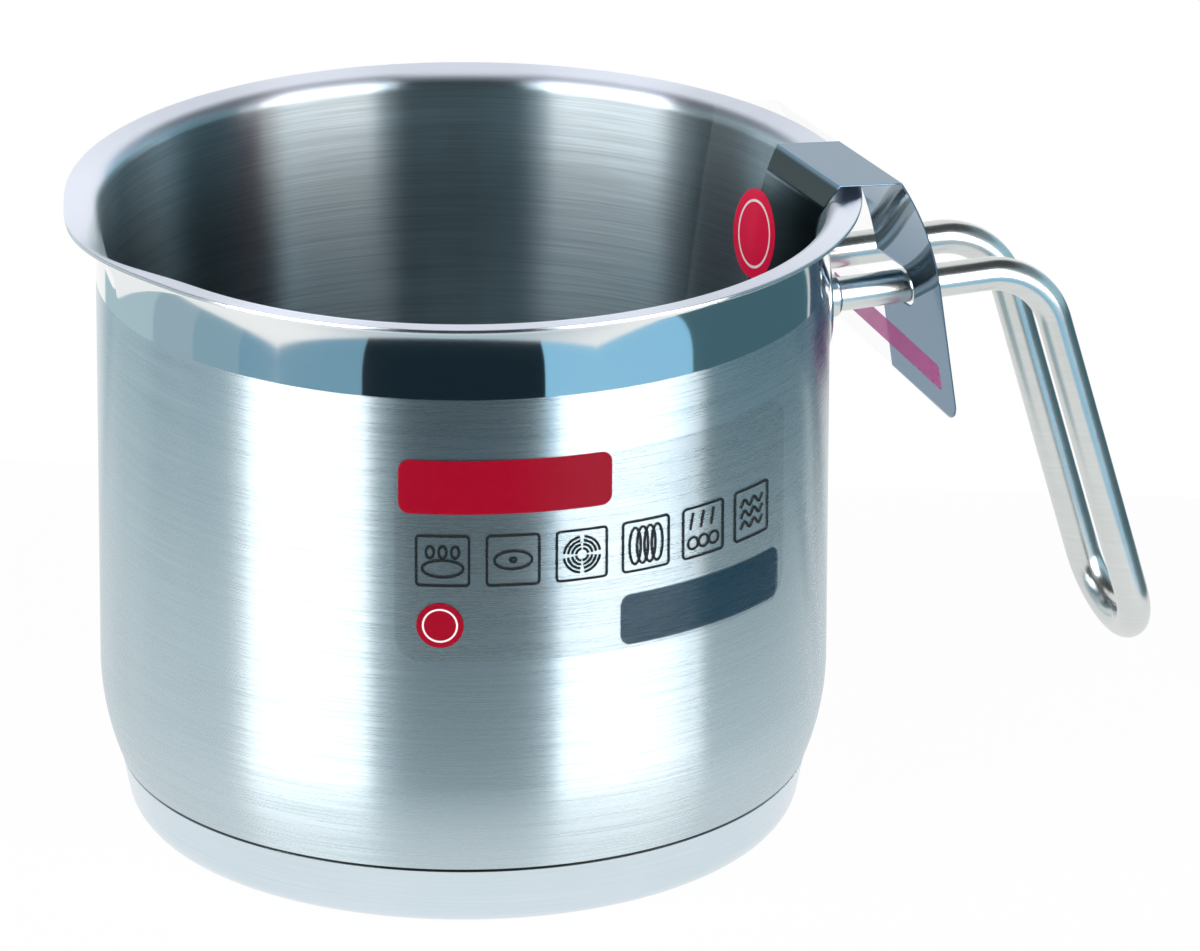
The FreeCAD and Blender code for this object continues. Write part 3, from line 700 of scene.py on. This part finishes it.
far_leg, near_leg = handle_leg(1), handle_leg(-1)[::-1]
half_turn = np.linspace(0, np.pi, BEND_STEPS)[1:-1, None]
end_centre = (far_leg[-1] + near_leg[0]) / 2
loop_end = end_centre + LEG_OFFSET * (np.cos(half_turn) * y_axis + np.sin(half_turn) * down)
loop_side = np.cos(half_turn) * y_axis + np.sin(half_turn) * down
rod_path = np.vstack([far_leg, loop_end, near_leg])
rod_side = np.vstack([np.tile(y_axis, (len(far_leg), 1)), loop_side, np.tile(-y_axis, (len(near_leg), 1))])
build("handle_loop", [tube(rod_path, rod_side, ROD_RADIUS, ROD_SIDES)], handle_finish,
      ["handle_rod"])

# %% [markdown]
# ## The handle's root
# A curved plate is welded to the wall and each leg stands in a small collar. The plate is a racetrack
# outline shrunk row by row, first over its rounded edge and then to its middle line, and laid on the wall
# by x = sqrt(r^2 - y^2). A collar is a profile turned about its leg, with its foot on the plate.

# %% Lay the plate and turn the collars
PLATE_EDGE = 0.7 * mm
PLATE_STEPS = 160
PLATE_ROWS = 8
COLLAR_RADIUS = 4.3 * mm
COLLAR_HEIGHT = 2.2 * mm
COLLAR_ROUND = 0.72 * mm
COLLAR_SIDES = 72
COLLAR_ROWS = 9

plate_round = (plate_high.z - plate_low.z) / 2
plate_half = plate_high.y - plate_round
edge_turn = np.radians(np.linspace(0, 90, PLATE_ROWS))
plate_inset = np.concatenate([[0], PLATE_EDGE * (1 - np.cos(edge_turn)),
                              np.linspace(PLATE_EDGE, plate_round, PLATE_ROWS)[1:]])
plate_radius = np.concatenate([[WALL_RADIUS], PLATE_RADIUS - PLATE_EDGE * (1 - np.sin(edge_turn)),
                               np.full(PLATE_ROWS - 1, PLATE_RADIUS)])
outline = np.linspace(0, 2 * np.pi, PLATE_STEPS, endpoint=False)[None, :]
plate_y = plate_half * np.sign(np.cos(outline)) + (plate_round - plate_inset[:, None]) * np.cos(outline)
plate_z = HANDLE_HEIGHT + (plate_round - plate_inset[:, None]) * np.sin(outline)
plate_x = np.sqrt(plate_radius[:, None] ** 2 - plate_y ** 2)
build("wall_plate", [grid_faces(np.stack([plate_x, plate_y, plate_z], -1), close_columns=True)],
      handle_finish, ["handle_plate"])


def collar(name, side, node):
    """Profile of (radius, stand-off) turned about a leg; the stand-off counts from the plate along +X."""
    turn = np.radians(np.linspace(0, 90, COLLAR_ROWS))
    radius = np.concatenate([[COLLAR_RADIUS], COLLAR_RADIUS - COLLAR_ROUND * (1 - np.cos(turn)),
                             [ROD_RADIUS, ROD_RADIUS]])
    stand = np.concatenate([[0], COLLAR_HEIGHT - COLLAR_ROUND * (1 - np.sin(turn)), [COLLAR_HEIGHT, 0]])
    angle = np.linspace(0, 2 * np.pi, COLLAR_SIDES, endpoint=False)
    y = side * LEG_OFFSET + np.outer(radius, np.cos(angle))
    z = HANDLE_HEIGHT + np.outer(radius, np.sin(angle))
    seat = np.sqrt(PLATE_RADIUS ** 2 - y ** 2)
    top = math.sqrt(PLATE_RADIUS ** 2 - LEG_OFFSET ** 2)
    share = (stand / COLLAR_HEIGHT)[:, None]
    x = seat * (1 - share) + (top + COLLAR_HEIGHT) * share
    points = grid_faces(np.stack([x, y, z], -1), close_rows=True, close_columns=True)
    build(name, [points], handle_finish, [node])


collar("collar_near", -1, "handle_collar_near")
collar("collar_far", 1, "handle_collar_far")

# %% [markdown]
# ## The clear label
# A thin clear film is stuck on the wall and carries flat print: a red bar, a dark bar, a red disc and a
# row of small line signs. Each is an outline in the label's own flat coordinates, filled from its middle
# outwards and bent onto the wall, so ink and film follow the same curve a hair apart.

# %% Bend flat outlines onto the wall
LABEL_TURN = math.radians(-87.3)
LABEL_WIDTH = 86.9 * mm
LABEL_CORNER = 5.0 * mm
INK = 0.015 * mm
OUTLINE_STEP = 0.25 * mm
RECTANGLE_STEPS = 64
ELLIPSE_STEPS = 96
label_middle = (label_low.z + label_high.z) / 2
label_height = label_high.z - label_low.z


def on_wall(flat, height):
    """Label place (along the wall from its middle, up from its middle) and height above the film's face."""
    radius = LABEL_RADIUS + height
    turn = LABEL_TURN + flat[..., 0] / LABEL_RADIUS
    return np.stack([radius * np.cos(turn), radius * np.sin(turn), label_middle + flat[..., 1]], -1)


def even(path, step=OUTLINE_STEP, closed=True):
    """The same polyline with points evenly spaced along it."""
    path = np.vstack([path, path[:1]]) if closed else np.asarray(path)
    run = np.concatenate([[0], np.cumsum(np.linalg.norm(np.diff(path, axis=0), axis=1))])
    count = max(int(run[-1] / step), 12)
    at = np.linspace(0, run[-1], count, endpoint=not closed)
    return np.stack([np.interp(at, run, path[:, 0]), np.interp(at, run, path[:, 1])], -1)


def rounded(width, height, corner, middle=(0, 0)):
    """Rectangle with round corners: corner centre by the quadrant's signs plus a circle, anticlockwise."""
    turn = np.linspace(0, 2 * np.pi, RECTANGLE_STEPS, endpoint=False) + np.pi / RECTANGLE_STEPS
    x = np.sign(np.cos(turn)) * (width / 2 - corner) + corner * np.cos(turn)
    y = np.sign(np.sin(turn)) * (height / 2 - corner) + corner * np.sin(turn)
    return even(np.stack([x, y], -1) + middle)


def ellipse(half_width, half_height, middle=(0, 0), first=0.0, last=2 * np.pi):
    """Points of an ellipse, or of a part of it."""
    turn = np.linspace(first, last, ELLIPSE_STEPS)
    return np.stack([middle[0] + half_width * np.cos(turn), middle[1] + half_height * np.sin(turn)], -1)


def slab(outline, lay, bottom, top, rings=14):
    """Thin closed sheet: the outline shrunk to its middle on the top face and again on the bottom face."""
    middle = outline.mean(0)
    share = np.concatenate([np.linspace(0, 1, rings), np.linspace(1, 0, rings)])
    height = np.repeat([top, bottom], rings)
    flat = middle + share[:, None, None] * (outline - middle)
    points = lay(flat, np.broadcast_to(height[:, None], flat.shape[:2]))
    return grid_faces(points, close_columns=True, flip=True)


def stroke(path, width, lay, bottom, top, closed=True):
    """Drawn line: a path given a width by stepping to both sides of it, with a top and a bottom face."""
    path = even(path, closed=closed)
    around = np.vstack([path[-1:], path, path[:1]]) if closed else path
    along = np.gradient(around, axis=0)
    along = along[1:-1] if closed else along
    aside = np.stack([-along[:, 1], along[:, 0]], -1) / np.linalg.norm(along, axis=1)[:, None] * width / 2
    flat = np.stack([path - aside, path + aside, path + aside, path - aside])
    height = np.repeat([top, top, bottom, bottom], len(path)).reshape(4, -1)
    return grid_faces(lay(flat, height), close_rows=True, close_columns=closed)


# %% Label film and print finishes
def clear_film(name, colour, alpha, rough):
    """Glossy see-through film with slight clouding."""
    material, place = start_finish(name)
    cloud = place.noise(180.0, 3.0)
    film = place.node("BsdfPrincipled", {}, {
        "Base Color": cloud.mix((*[0.85 * c for c in colour], 1), (*colour, 1)),
        "Roughness": rough * (0.85 + 0.3 * cloud), "Alpha": alpha * (0.8 + 0.4 * cloud)})
    return end_finish(material, place, film)


def ink(name, colour, rough=0.32, cover=0.77):
    """Printed ink: an even colour with the faint mottle of print, a little see-through."""
    material, place = start_finish(name)
    mottle = place.noise(900.0, 2.0)
    dark, pale = [(*[min(share * c, 1.0) for c in colour], 1) for share in (0.9, 1.1)]
    print_coat = place.node("BsdfPrincipled", {}, {
        "Base Color": mottle.mix(dark, pale),
        "Roughness": rough * (0.85 + 0.3 * mottle), "Alpha": cover, "Specular IOR Level": 0.2})
    return end_finish(material, place, print_coat)


RED = (0.275, 0.001, 0.014)
SLATE = (0.002, 0.035, 0.065)
label_finish = clear_film("label_film", (0.10, 0.12, 0.12), 0.06, 0.3)
red_ink = ink("red_ink", RED)
slate_ink = ink("slate_ink", SLATE, cover=0.48)
black_ink = ink("black_ink", (0.012, 0.016, 0.018))
pale_ink = ink("pale_ink", (0.80, 0.78, 0.78))

# %% Stick the label and its print
film_outline = rounded(LABEL_WIDTH, label_height, LABEL_CORNER)
build("label_sheet", [slab(film_outline, on_wall, -LABEL_FILM, 0, rings=28)], label_finish,
      ["label_film"])
BAR_CORNER = 2.2 * mm
red_bar = rounded(41.2 * mm, 10.8 * mm, BAR_CORNER, (-22.1 * mm, 14.9 * mm))
slate_bar = rounded(41.0 * mm, 10.2 * mm, BAR_CORNER, (20.9 * mm, -14.6 * mm))
build("label_red_bar", [slab(red_bar, on_wall, 0, INK)], red_ink)
build("label_slate_bar", [slab(slate_bar, on_wall, 0, INK)], slate_ink)

DISC_PLACE = (-34.8 * mm, -13.0 * mm)
DISC_RADIUS = 4.5 * mm
DISC_RING_RADIUS = 0.72 * DISC_RADIUS
DISC_RING_LINE = 0.35 * mm
RING_TOP = 1.6 * INK
disc_outline = ellipse(DISC_RADIUS, DISC_RADIUS, DISC_PLACE)[:-1]
disc_ring = ellipse(DISC_RING_RADIUS, DISC_RING_RADIUS, DISC_PLACE)[:-1]
build("label_disc", [slab(disc_outline, on_wall, 0, INK)], red_ink)
build("label_disc_ring", [stroke(disc_ring, DISC_RING_LINE, on_wall, INK, RING_TOP)], pale_ink)

SIGN_SIZE = 10.0 * mm
SIGN_PITCH = 13.38 * mm
SIGN_FIRST = -34.3 * mm
SIGN_RISE = 0.1 * mm
SIGN_CORNER = 0.7 * mm
RING_GAP = 0.24
FINE_LINE = 0.5 * mm


def sign_strokes():
    """Six plain signs in square frames: rings over a dish, a disc, broken rings, loops, rain, waves."""
    places = [np.array([SIGN_FIRST + i * SIGN_PITCH, SIGN_RISE]) for i in range(6)]
    lines = [(rounded(SIGN_SIZE, SIGN_SIZE, SIGN_CORNER, place), True) for place in places]
    dish, disc, rings, loops, rain, waves = places
    lines += [(ellipse(3.9 * mm, 1.7 * mm, dish - (0, 1.6 * mm))[:-1], True)]
    lines += [(ellipse(0.75 * mm, 1.2 * mm, dish + (x * mm, 1.7 * mm))[:-1], True) for x in (-2.4, 0, 2.4)]
    lines += [(ellipse(3.6 * mm, 1.8 * mm, disc)[:-1], True), (ellipse(0.6 * mm, 0.4 * mm, disc)[:-1], True)]
    for radius in (1.2, 2.0, 2.8, 3.6):
        for quarter in range(4):
            first = quarter * np.pi / 2 + RING_GAP / 2
            last = first + np.pi / 2 - RING_GAP
            lines.append((ellipse(radius * mm, radius * mm, rings, first, last), False))
    lines += [(ellipse(1.2 * mm, 3.7 * mm, loops + (x * mm, 0))[:-1], True) for x in (-2.4, -0.8, 0.8, 2.4)]
    for x in (-2.6, 0, 2.6):
        drops = np.array([[x, 4.0], [x - 0.7, 0.6]]) * mm
        lines.append((rain + drops, False))
        lines.append((ellipse(1.2 * mm, 1.2 * mm, rain + (x * mm, -2.2 * mm))[:-1], True))
    swell = np.linspace(-3.4, 3.4, 60)
    for height in (-2.2, 0.0, 2.2):
        wave = np.stack([swell, height + 0.7 * np.sin(swell * 2.2)], -1) * mm
        lines.append((waves + wave, False))
    return [stroke(path, FINE_LINE, on_wall, 0, INK, closed) for path, closed in lines]


build("label_signs", sign_strokes(), black_ink)

# %% [markdown]
# ## The film tag
# A strip of film is folded over the rim and threaded on the handle. Half of it is a mirror-like tinted
# film and half is clear. A fold line carries each flap: from it the film runs straight, eases its lean
# along an arc and ends in a straight tail. Each column of the flap is cut off at its own lower edge, and
# the slot for the rods is left open by ending the upper part above it and starting the lower part below.

# %% Fold the tag
TAG_FILM = 0.3 * mm
TAG_WIDTH = 54.0 * mm
TAG_TURN = math.radians(3.2)
TAG_SHIFT = -5.5 * mm
TAG_SEAT = 0.3 * mm
TAG_OVERHANG = 1.3 * mm
TAG_TILT = math.radians(6.3)
TAG_WALL_GAP = 0.6 * mm
TAG_NECK = 3.0 * mm
TAG_NECK_DROP = 6.0 * mm
TAG_FOLD_LAP = 2.0 * mm
TAG_STUB = 1.0 * mm
TAG_CORNER = 4.0 * mm
INNER_FLAP_LENGTH = 52.0 * mm
INNER_FLAP_LEAN = (27.0, 8.0)
INNER_FLAP_CURL = 36.0 * mm
OUTER_FLAP_LEAN = (31.5, 8.5)
OUTER_FLAP_CURL = 60.0 * mm
OUTER_FLAP_TAIL = 20.8 * mm
OUTER_FLAP_SKEW = math.tan(math.radians(7.0))
SLOT_CLEARANCE = 0.65 * mm
FLAP_ROWS = 48
FLAP_SAMPLES = 2000
TAG_COLUMNS = 61
SLOT_STEPS = 25
TAG_CORNER_STEPS = 12

half_width = TAG_WIDTH / 2
neck_half = half_width - TAG_NECK
inner_wall = WALL_RADIUS - SHEET - TAG_WALL_GAP
chord = math.sqrt(inner_wall ** 2 - (abs(TAG_SHIFT) + neck_half) ** 2)
outer_fold = np.array([RIM_RADIUS + TAG_OVERHANG, RIM_HEIGHT + TAG_SEAT + TAG_FILM / 2 / math.cos(TAG_TILT)
                       - TAG_OVERHANG * math.tan(TAG_TILT)])
inner_fold_x = chord + TAG_FOLD_LAP
inner_fold = np.array([inner_fold_x, outer_fold[1] + (outer_fold[0] - inner_fold_x) * math.tan(TAG_TILT)])


class Flap:
    """Film hanging from a fold: straight, then an arc whose lean eases from first to last, then straight.
    Along the arc the film moves out by curl (cos lean - cos first) and falls by
    curl (sin first - sin lean)."""

    def __init__(self, fold, side, leans, curl):
        self.fold, self.side, self.curl = fold, side, curl
        self.first, self.last = np.radians(leans)
        self.depths = np.linspace(0, 2 * INNER_FLAP_LENGTH, FLAP_SAMPLES)
        self.drops = self.curve(self.depths)[1]

    def curve(self, depth):
        """How far out and how far down the film is at a length from the fold, and its lean there."""
        turned_by = np.clip((depth - TAG_STUB) / self.curl, 0, self.first - self.last)
        lean = self.first - turned_by
        before = np.minimum(depth, TAG_STUB)
        after = np.maximum(depth - TAG_STUB - self.curl * (self.first - self.last), 0)
        out = before * math.sin(self.first) + self.curl * (np.cos(lean) - math.cos(self.first))
        fall = before * math.cos(self.first) + self.curl * (math.sin(self.first) - np.sin(lean))
        return out + after * math.sin(self.last), fall + after * math.cos(self.last), lean

    def points(self, across, drop, proud=0.0):
        """Places on the film at a distance across it and a drop below the fold, moved off its outer face."""
        out, fall, lean = self.curve(np.interp(drop, self.drops, self.depths))
        x = self.fold[0] + self.side * (out + proud * np.cos(lean))
        return hung(x, across, self.fold[1] - fall + proud * np.sin(lean))


def hung(x, across, z):
    """Turns and shifts the tag's own frame to where it hangs on the pan."""
    y = across + TAG_SHIFT
    return np.stack([x * math.cos(TAG_TURN) - y * math.sin(TAG_TURN),
                     x * math.sin(TAG_TURN) + y * math.cos(TAG_TURN), z], -1)


def corner_rise(across, half):
    """How much a rounded corner lifts the lower edge at a distance across."""
    past = np.clip(np.abs(across) - (half - TAG_CORNER), 0, TAG_CORNER)
    return TAG_CORNER - np.sqrt(TAG_CORNER ** 2 - past ** 2)


inner_flap = Flap(inner_fold, -1, INNER_FLAP_LEAN, INNER_FLAP_CURL)
outer_flap = Flap(outer_fold, 1, OUTER_FLAP_LEAN, OUTER_FLAP_CURL)
slot_half_height = ROD_RADIUS + SLOT_CLEARANCE
slot_drop = outer_fold[1] - HANDLE_HEIGHT
slot_x = outer_fold[0] + outer_flap.curve(np.interp(slot_drop, outer_flap.drops, outer_flap.depths))[0]
slot_middle = -TAG_SHIFT - slot_x * math.tan(TAG_TURN)
slot_ends = slot_middle + LEG_OFFSET * np.array([-1, 1]) / math.cos(TAG_TURN)
round_steps = slot_half_height * np.cos(np.linspace(np.pi, 0, SLOT_STEPS))
corner_turn = np.linspace(0, np.pi / 2, TAG_CORNER_STEPS)
corner_steps = half_width - TAG_CORNER * (1 - np.sin(corner_turn))
columns = np.unique(np.concatenate([np.linspace(-half_width, half_width, TAG_COLUMNS),
                                    slot_ends[0] + round_steps, slot_ends[1] + round_steps,
                                    corner_steps, -corner_steps]))
past_slot = np.maximum(np.maximum(slot_ends[0] - columns, columns - slot_ends[1]), 0)
slot_opening = np.sqrt(np.maximum(slot_half_height ** 2 - past_slot ** 2, 0))
tail_drop = outer_fold[1] - (HANDLE_HEIGHT - OUTER_FLAP_TAIL) - OUTER_FLAP_SKEW * columns
tail_drop = tail_drop - corner_rise(columns, half_width)
rows = np.linspace(0, 1, FLAP_ROWS)[:, None]
inner_across = columns * neck_half / half_width
inner_drop = rows * (INNER_FLAP_LENGTH - corner_rise(inner_across, neck_half))
neck = 1 - (1 - neck_half / half_width) * np.clip(inner_drop / TAG_NECK_DROP, 0, 1)
strip_x = inner_fold[0] + rows[::4] * (outer_fold[0] - inner_fold[0])
strip_z = inner_fold[1] + rows[::4] * (outer_fold[1] - inner_fold[1])
strip_x[-1], strip_z[-1] = outer_fold
ones = np.ones_like(columns)
tag_grids = [
    inner_flap.points((columns * neck)[::-1], inner_drop[::-1]),
    hung(strip_x * ones, columns * np.ones_like(strip_x), strip_z * ones),
    outer_flap.points(columns * np.ones_like(rows), rows * (slot_drop - slot_opening)),
    outer_flap.points(columns * np.ones_like(rows),
                      slot_drop + slot_opening + rows * (tail_drop - slot_drop - slot_opening)),
]
print("tag folds at", [round(v / mm, 2) for v in (*inner_fold, *outer_fold)])

# %% Tag finishes and print
TAG_RED = (0.72, 0.004, 0.05)
TAG_PINK = (0.98, 0.15, 0.52)
TINT = (0.17, 0.26, 0.35)
INNER_FLAP_SHADE = (0.045, 0.062, 0.066)
CLEAR = (0.50, 0.56, 0.62)
CLEAR_ALPHA = 0.03
TINT_METAL = 0.96
TINT_FADE = 0.1 * mm
FOLD_FADE = (inner_fold_x - 0.6 * mm, inner_fold_x - 0.2 * mm)


def tag_film():
    """Tinted mirror film on the camera's side of the tag's middle line and clear film on the other side."""
    material, place = start_finish("tag_film")
    x, y = place.parts()[:2]
    across = y * math.cos(TAG_TURN) - x * math.sin(TAG_TURN) - TAG_SHIFT
    tinted = 1 - across.rising(-TINT_FADE, TINT_FADE)
    out = x * math.cos(TAG_TURN) + y * math.sin(TAG_TURN)
    # Painted shade: the inner flap, inside the pan, takes a much darker copy of the mirror film's tint.
    inside = 1 - out.rising(*FOLD_FADE)
    mirror_tone = inside.mix((*TINT, 1), (*INNER_FLAP_SHADE, 1))
    cloud = place.noise(35.0, 3.0)
    film = place.node("BsdfPrincipled", {}, {
        "Base Color": tinted.mix((*CLEAR, 1), mirror_tone), "Metallic": tinted * TINT_METAL,
        "Roughness": 0.03 + 0.04 * cloud, "Alpha": CLEAR_ALPHA + (1 - CLEAR_ALPHA) * tinted})
    return end_finish(material, place, film)


FOLD_CREASE = math.radians(20)
tag = build("tag_sheet", [grid_faces(grid) for grid in tag_grids], tag_film(), ["sale_tag"],
            crease=FOLD_CREASE)
thicken = tag.modifiers.new("film", "SOLIDIFY")
thicken.thickness = TAG_FILM
thicken.offset = 0

DISC_DROP = 17.7 * mm
TAG_DISC_RADIUS = 8.7 * mm
TAG_RING_RADIUS = 0.74 * TAG_DISC_RADIUS
TAG_RING_LINE = 0.5 * mm
STRIP_WIDTH = 5.3 * mm
STRIP_LIFT = 4.8 * mm
STRIP_LENGTH = 44.0 * mm
STRIP_CORNER = 0.8 * mm
face = TAG_FILM / 2


def on_inner_flap(flat, height):
    """Tag print place (across, drop below the fold) on the face towards the pan's middle."""
    return inner_flap.points(-flat[..., 0], flat[..., 1], face + height)


def on_outer_flap(flat, height):
    """Tag print place (across, lift above the skewed lower edge) on the face towards the pan."""
    edge = outer_fold[1] - (HANDLE_HEIGHT - OUTER_FLAP_TAIL) - OUTER_FLAP_SKEW * flat[..., 0]
    return outer_flap.points(flat[..., 0], edge - flat[..., 1], -face - height)


tag_disc = ellipse(TAG_DISC_RADIUS, TAG_DISC_RADIUS, (0, DISC_DROP))[:-1]
tag_ring = ellipse(TAG_RING_RADIUS, TAG_RING_RADIUS, (0, DISC_DROP))[:-1]
tag_bar = rounded(STRIP_LENGTH, STRIP_WIDTH, STRIP_CORNER, (0, STRIP_LIFT + STRIP_WIDTH / 2))
build("tag_disc", [slab(tag_disc, on_inner_flap, 0, INK)], ink("tag_red", TAG_RED))
build("tag_disc_ring", [stroke(tag_ring, TAG_RING_LINE, on_inner_flap, INK, RING_TOP)], pale_ink)
build("tag_bar", [slab(tag_bar, on_outer_flap, 0, INK, rings=20)], ink("tag_pink", TAG_PINK))
